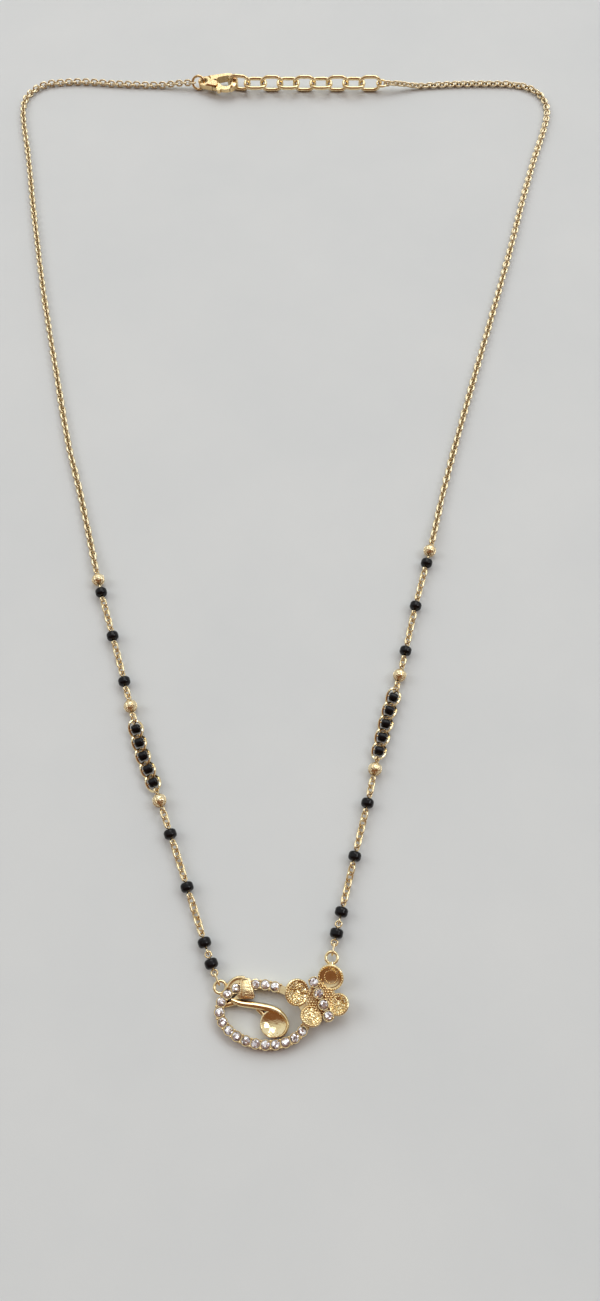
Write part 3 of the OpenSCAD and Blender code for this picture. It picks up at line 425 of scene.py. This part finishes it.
class Shader:
    """A material's node tree, with short calls to add and join nodes."""

    def __init__(self, name):
        self.material = bpy.data.materials.new(name)
        self.material.use_nodes = True
        self.tree = self.material.node_tree
        self.surface = self.tree.nodes["Principled BSDF"]
        # The place on the object, in millimetres and in metres
        self.mm = self.add("ShaderNodeMapping", Scale=(1000, 1000, 1000))
        self.place = self.add("ShaderNodeTexCoord").outputs["Object"]
        self.tree.links.new(self.place, self.mm.inputs["Vector"])

    def add(self, kind, **values):
        """A new node, with values for its inputs and its own settings."""
        node = self.tree.nodes.new(kind)
        for key, value in values.items():
            if key in node.inputs:
                node.inputs[key].default_value = value
            else:
                setattr(node, key, value)
        return node

    def join(self, output, node, key):
        self.tree.links.new(output, node.inputs[key])

    def set(self, **values):
        """Numbers on the surface's own sockets."""
        for key, value in values.items():
            self.surface.inputs[key.replace("_", " ")].default_value = value

    def noise(self, scale, detail=2, roughness=0.5, stretch=None, turn=0):
        """Noise with scale in cycles a millimetre, drawn out along X by stretch after a turn about Z."""
        texture = self.add("ShaderNodeTexNoise", Scale=scale, Detail=detail, Roughness=roughness)
        source = self.mm.outputs[0]
        if stretch:
            drawn = self.add("ShaderNodeMapping", Scale=(1 / stretch, 1, 1))
            drawn.inputs["Rotation"].default_value = (0, 0, math.radians(turn))
            self.join(source, drawn, "Vector")
            source = drawn.outputs[0]
        self.join(source, texture, "Vector")
        return texture.outputs["Fac"]

    def cells(self, scale, feature="F1", output="Distance"):
        """Small cells with scale in cells a millimetre."""
        texture = self.add("ShaderNodeTexVoronoi", feature=feature, Scale=scale)
        self.join(self.mm.outputs[0], texture, "Vector")
        return texture.outputs[output]

    def spread(self, value, low, high, to_low=0.0, to_high=1.0):
        """value from low to high, mapped to to_low to to_high and clamped."""
        span = self.add("ShaderNodeMapRange")
        keys = ("From Min", "From Max", "To Min", "To Max")
        for key, number in zip(keys, (low, high, to_low, to_high)):
            span.inputs[key].default_value = number
        self.join(value, span, "Value")
        return span.outputs[0]

    def colours(self, value, *stops):
        """A ramp of (place, colour) stops."""
        node = self.add("ShaderNodeValToRGB")
        ramp_points = node.color_ramp.elements
        while len(ramp_points) < len(stops):
            ramp_points.new(0.5)
        for point, (at, colour) in zip(ramp_points, stops):
            point.position = at
            point.color = (*colour, 1)
        self.join(value, node, "Fac")
        return node.outputs["Color"]

    def math(self, operation, a, b):
        """A Math node's result, for sockets or numbers."""
        node = self.add("ShaderNodeMath", operation=operation)
        for key, value in enumerate((a, b)):
            if isinstance(value, (int, float)):
                node.inputs[key].default_value = value
            else:
                self.join(value, node, key)
        return node.outputs[0]

    def mix(self, factor, a, b):
        """a to b by factor, for colours."""
        node = self.add("ShaderNodeMix", data_type="RGBA")
        self.join(factor, node, MIX_FACTOR)
        for key, value in ((MIX_A, a), (MIX_B, b)):
            if isinstance(value, tuple):
                node.inputs[key].default_value = (*value, 1)
            else:
                self.join(value, node, key)
        return node.outputs[MIX_RESULT]

    def near(self, centre, radius):
        """1 inside a ball and 0 outside it, with a soft edge."""
        away = self.add("ShaderNodeVectorMath", operation="DISTANCE")
        away.inputs[1].default_value = centre
        self.join(self.place, away, 0)
        return self.spread(away.outputs["Value"], radius, radius + FINISH_FADE, 1, 0)

    def crevice(self, distance):
        """1 in the open and towards 0 in hollows."""
        shade = self.add("ShaderNodeAmbientOcclusion", Distance=distance, samples=8)
        return shade.outputs["AO"]

    def bump(self, height, depth, strength=1.0):
        """Relief of that depth in metres, on top of what bump the surface already has."""
        node = self.add("ShaderNodeBump", Strength=strength, Distance=depth)
        self.join(height, node, "Height")
        if self.surface.inputs["Normal"].links:
            before = self.surface.inputs["Normal"].links[0].from_socket
            self.join(before, node, "Normal")
        self.join(node.outputs[0], self.surface, "Normal")

    def tilt(self, value, amount):
        """Turns the surface's normal by a random colour, so that each cell catches its own light."""
        lean = self.add("ShaderNodeVectorMath", operation="SUBTRACT")
        self.join(value, lean, 0)
        lean.inputs[1].default_value = (0.5, 0.5, 0.5)
        scaled = self.add("ShaderNodeVectorMath", operation="SCALE")
        self.join(lean.outputs[0], scaled, 0)
        scaled.inputs["Scale"].default_value = amount
        normal = self.add("ShaderNodeNewGeometry").outputs["Normal"]
        both = self.add("ShaderNodeVectorMath", operation="ADD")
        self.join(normal, both, 0)
        self.join(scaled.outputs[0], both, 1)
        unit = self.add("ShaderNodeVectorMath", operation="NORMALIZE")
        self.join(both.outputs[0], unit, 0)
        self.join(unit.outputs[0], self.surface, "Normal")

    def colour(self, value):
        self.join(value, self.surface, "Base Color")

    def roughness(self, value):
        self.join(value, self.surface, "Roughness")

    def rougher(self, value):
        """Raises the roughness to value where it is less."""
        before = self.surface.inputs["Roughness"].links[0].from_socket
        self.roughness(self.math("MAXIMUM", before, value))


def gold(name, bright, deep, hollow_shade, rough, hollow=0.0006):
    """Gold plate: two tones in clouds, painted shade that darkens the hollows, smears, drawn scratches
    and slight waves.

    rough is the range of its roughness, and hollow how wide a hollow is that gets the painted shade.
    """
    shader = Shader(name)
    shader.set(Metallic=1.0)
    clouds = shader.noise(1.3, detail=4, roughness=0.6)
    tone = shader.colours(clouds, (0.3, deep), (0.7, bright))
    # Painted shade: where ambient occlusion finds a hollow, the colour turns to the dark brown tone given
    # for the hollows
    open_air = shader.spread(shader.crevice(hollow), 0.25, 0.85)
    shader.colour(shader.mix(open_air, hollow_shade, tone))
    smears = shader.noise(5, detail=6, roughness=0.65)
    shader.roughness(shader.spread(smears, 0.3, 0.75, *rough))
    shader.bump(shader.noise(9, detail=3, roughness=0.6, stretch=12, turn=35), depth=0.000004)
    shader.bump(shader.noise(3), depth=0.000008)
    return shader


def pendant_gold():
    """Polished gold, with a hammered fan and a gently waved dish."""
    shader = gold(
        "pendant_gold",
        bright=(1.0, 0.86, 0.53), deep=(0.93, 0.73, 0.38), hollow_shade=(0.5, 0.24, 0.08),
        rough=(0.08, 0.18),
    )
    fan = shader.near(FAN_AT, FAN_R)
    dish = shader.near(DISH_AT, DISH_R)
    shader.rougher(shader.math("MULTIPLY", fan, 0.26))
    hammered = shader.noise(3, detail=3, roughness=0.6, stretch=4, turn=78)
    shader.bump(shader.math("MULTIPLY", hammered, fan), depth=0.00016)
    waves = shader.noise(1.1)
    shader.bump(shader.math("MULTIPLY", waves, dish), depth=0.00016, strength=0.8)
    return shader.material


def cut_gold():
    """Bright gold, cut all over by fine grooves."""
    shader = gold(
        "cut_gold",
        bright=(1.0, 0.87, 0.55), deep=(0.92, 0.74, 0.41), hollow_shade=(0.46, 0.24, 0.08),
        rough=(0.06, 0.16),
    )
    grooves = shader.spread(shader.cells(2.1, feature="DISTANCE_TO_EDGE"), 0, 0.16)
    shader.bump(grooves, depth=0.00009)
    shader.bump(shader.cells(4.3), depth=0.00004, strength=0.8)
    return shader.material


def strand_gold():
    """The plate on the small links and wires between the beads."""
    shader = gold(
        "strand_gold",
        bright=(1.0, 0.87, 0.57), deep=(0.88, 0.69, 0.37), hollow_shade=(0.42, 0.22, 0.07),
        rough=(0.1, 0.24),
    )
    return shader.material


def bead_gold():
    """Bright fluted beads with fine cuts, and painted shade that darkens their flutes."""
    shader = gold(
        "bead_gold",
        bright=(1.0, 0.87, 0.59), deep=(0.86, 0.68, 0.38), hollow_shade=(0.26, 0.12, 0.03),
        rough=(0.08, 0.2), hollow=0.0003,
    )
    shader.bump(shader.cells(4.5), depth=0.00007, strength=0.9)
    return shader.material


def chain_gold():
    """Pale, slightly dull plate on the fine cable links."""
    shader = gold(
        "chain_gold",
        bright=(0.96, 0.84, 0.58), deep=(0.84, 0.69, 0.43), hollow_shade=(0.38, 0.25, 0.1),
        rough=(0.2, 0.36), hollow=0.0004,
    )
    return shader.material


def clasp_gold():
    """The clasp is a deeper gold, with the faint unevenness of casting."""
    shader = gold(
        "clasp_gold",
        bright=(0.93, 0.72, 0.4), deep=(0.74, 0.52, 0.25), hollow_shade=(0.3, 0.14, 0.04),
        rough=(0.1, 0.24),
    )
    shader.bump(shader.noise(1.6, detail=3), depth=0.00002, strength=0.6)
    return shader.material


def extender_gold():
    """The plate on the extender's larger links."""
    shader = gold(
        "extender_gold",
        bright=(0.98, 0.82, 0.5), deep=(0.86, 0.66, 0.35), hollow_shade=(0.34, 0.17, 0.06),
        rough=(0.12, 0.28),
    )
    return shader.material


def black_glass():
    """Glossy black beads with a trace of dust and fine pits."""
    shader = Shader("black_glass")
    shader.set(Coat_Weight=0.08, Coat_Roughness=0.03, IOR=1.4, Specular_IOR_Level=0.3)
    dust = shader.noise(6, detail=5, roughness=0.65)
    shader.colour(shader.colours(dust, (0.45, (0.002, 0.002, 0.003)), (0.8, (0.012, 0.01, 0.01))))
    shader.roughness(shader.spread(dust, 0.3, 0.8, 0.03, 0.14))
    shader.bump(shader.noise(2.2, detail=3), depth=0.00002)
    shader.bump(shader.cells(7), depth=0.000006)
    return shader.material


def cut_stone():
    """Clear cut stones over a bright foil: small facets that each face their own way, with painted
    sparkle in their colour.
    """
    shader = Shader("cut_stone")
    shader.set(Metallic=0.8, IOR=2.0, Coat_Weight=1.0, Coat_Roughness=0.01)
    facets = shader.cells(3.2, output="Color")
    split = shader.add("ShaderNodeSeparateColor")
    shader.join(facets, split, "Color")
    # Painted sparkle: each facet's colour, from dark grey to white, stands in for its light and dark
    # reflections; the faint lilac is the stones' own tint
    shader.colour(shader.colours(
        split.outputs[0],
        (0.0, (0.3, 0.25, 0.24)), (0.2, (0.68, 0.62, 0.66)), (0.4, (0.96, 0.92, 0.96)), (0.8, (1, 1, 1)),
    ))
    shader.roughness(shader.spread(split.outputs[1], 0, 1, 0.03, 0.2))
    shader.tilt(facets, amount=0.9)
    return shader.material


def floor_paper():
    """Pale grey board with a faint mottle."""
    shader = Shader("floor_paper")
    mottle = shader.noise(0.03, detail=4, roughness=0.6)
    shader.colour(shader.colours(mottle, (0.3, (0.632, 0.668, 0.678)), (0.7, (0.665, 0.698, 0.703))))
    shader.roughness(shader.spread(shader.noise(1.5, detail=3), 0.3, 0.7, 0.75, 0.9))
    shader.bump(shader.noise(4, detail=4), depth=0.00001)
    return shader.material


def finish_of(name, finishes):
    """The material for a CAD node, by the start of its name."""
    for start, material in finishes.items():
        if name.startswith(start):
            return material
    raise KeyError(name)


def dress_nodes(finishes):
    """Gives every CAD node its finish."""
    for name, node in nodes.items():
        node.data.materials.clear()
        node.data.materials.append(finish_of(name, finishes))


def floor():
    """A wide floor under the necklace."""
    reach = FLOOR_REACH
    points = [(-reach, -reach, 0), (reach, -reach, 0), (reach, reach, 0), (-reach, reach, 0)]
    plane = add_mesh("floor", points, [(0, 1, 2, 3)], floor_paper())


def softbox(name, at, size, power, colour=(1, 1, 1), mirrored=True):
    """A square light that faces the middle of the necklace, and that polished gold may mirror."""
    light = bpy.data.lights.new(name, "AREA")
    light.shape = "SQUARE"
    light.size = size
    light.energy = power
    light.color = colour
    lamp = bpy.data.objects.new(name, light)
    lamp.location = at
    lamp.visible_glossy = mirrored
    lamp.rotation_euler = (-Vector(at)).to_track_quat("-Z", "Y").to_euler()
    bpy.context.scene.collection.objects.link(lamp)


def room_tone(tree):
    """The colour of the room, which turns from its front's tone to its back's."""
    place = tree.nodes.new("ShaderNodeTexCoord")
    axes = tree.nodes.new("ShaderNodeSeparateXYZ")
    depth = tree.nodes.new("ShaderNodeMapRange")
    depth.interpolation_type = "SMOOTHSTEP"
    for key, value in zip(("From Min", "From Max"), ROOM_TURN):
        depth.inputs[key].default_value = value
    tones = tree.nodes.new("ShaderNodeMix")
    tones.data_type = "RGBA"
    tones.inputs[MIX_A].default_value = (*ROOM_FRONT, 1)
    tones.inputs[MIX_B].default_value = (*ROOM_BACK, 1)
    tree.links.new(place.outputs["Generated"], axes.inputs[0])
    tree.links.new(axes.outputs["Y"], depth.inputs["Value"])
    tree.links.new(depth.outputs[0], tones.inputs[MIX_FACTOR])
    return tones.outputs[MIX_RESULT]


def room():
    """A room that is pale behind the necklace, and dim and brown in front of it."""
    world = bpy.data.worlds.new("room")
    world.use_nodes = True
    tree = world.node_tree
    # Seen directly, the room is pale on every side
    path = tree.nodes.new("ShaderNodeLightPath")
    seen = tree.nodes.new("ShaderNodeMix")
    seen.data_type = "RGBA"
    seen.inputs[MIX_B].default_value = (*ROOM_BACK, 1)
    background = tree.nodes["Background"]
    tree.links.new(path.outputs["Is Camera Ray"], seen.inputs[MIX_FACTOR])
    tree.links.new(room_tone(tree), seen.inputs[MIX_A])
    tree.links.new(seen.outputs[MIX_RESULT], background.inputs["Color"])
    bpy.context.scene.world = world


def studio():
    """The room and three soft lights, two of them at the sides."""
    room()
    softbox("light_back", at=(0.2, 1.1, 1.3), size=1.2, power=8.6)
    softbox(
        "light_left", at=(-1.3, 0.25, 1.1), size=0.9, power=7.9, colour=(1, 0.98, 0.94),
        mirrored=False,
    )
    softbox("light_right", at=(1.2, 0.2, 1.3), size=0.6, power=5.2, colour=(0.96, 0.98, 1))
    bpy.context.scene.view_settings.view_transform = "Standard"


def camera():
    """The camera, above the pendant and tilted towards the clasp."""
    data = bpy.data.cameras.new("camera")
    data.lens = CAMERA_LENS
    data.clip_start = CAMERA_NEAR
    view = bpy.data.objects.new("camera", data)
    view.location = CAMERA_AT
    view.rotation_euler = (math.radians(CAMERA_TILT), 0, 0)
    bpy.context.scene.collection.objects.link(view)
    bpy.context.scene.camera = view


camera()
floor()
studio()
bead = bead_gold()
strand = strand_gold()
chain = chain_gold()
pendant = pendant_gold()
dress_nodes({
    "pendant": pendant,
    "frame_stones": cut_stone(),
    "petal_stones": cut_stone(),
    "bead_chain": strand,
    "eye_pins": strand,
    "cage_links": strand,
    "black_bead": black_glass(),
    "caged_bead": black_glass(),
    "gold_bead": bead,
    "plain_chain": chain,
    "clasp": clasp_gold(),
    "extender": extender_gold(),
})
plain_chain("left", LEFT_ROUTE, CLASP_RING_WIRE, CLASP_RING_Z, CLASP_HOOK_ROLL, chain)
plain_chain("right", RIGHT_ROUTE, END_RING_WIRE, END_RING_Z, END_HOOK_ROLL, chain)
cut = cut_gold()
for name, (at, width, turn) in PETALS.items():
    dress_petal(name, at, width, turn, pendant, cut)
core_grains(pendant)
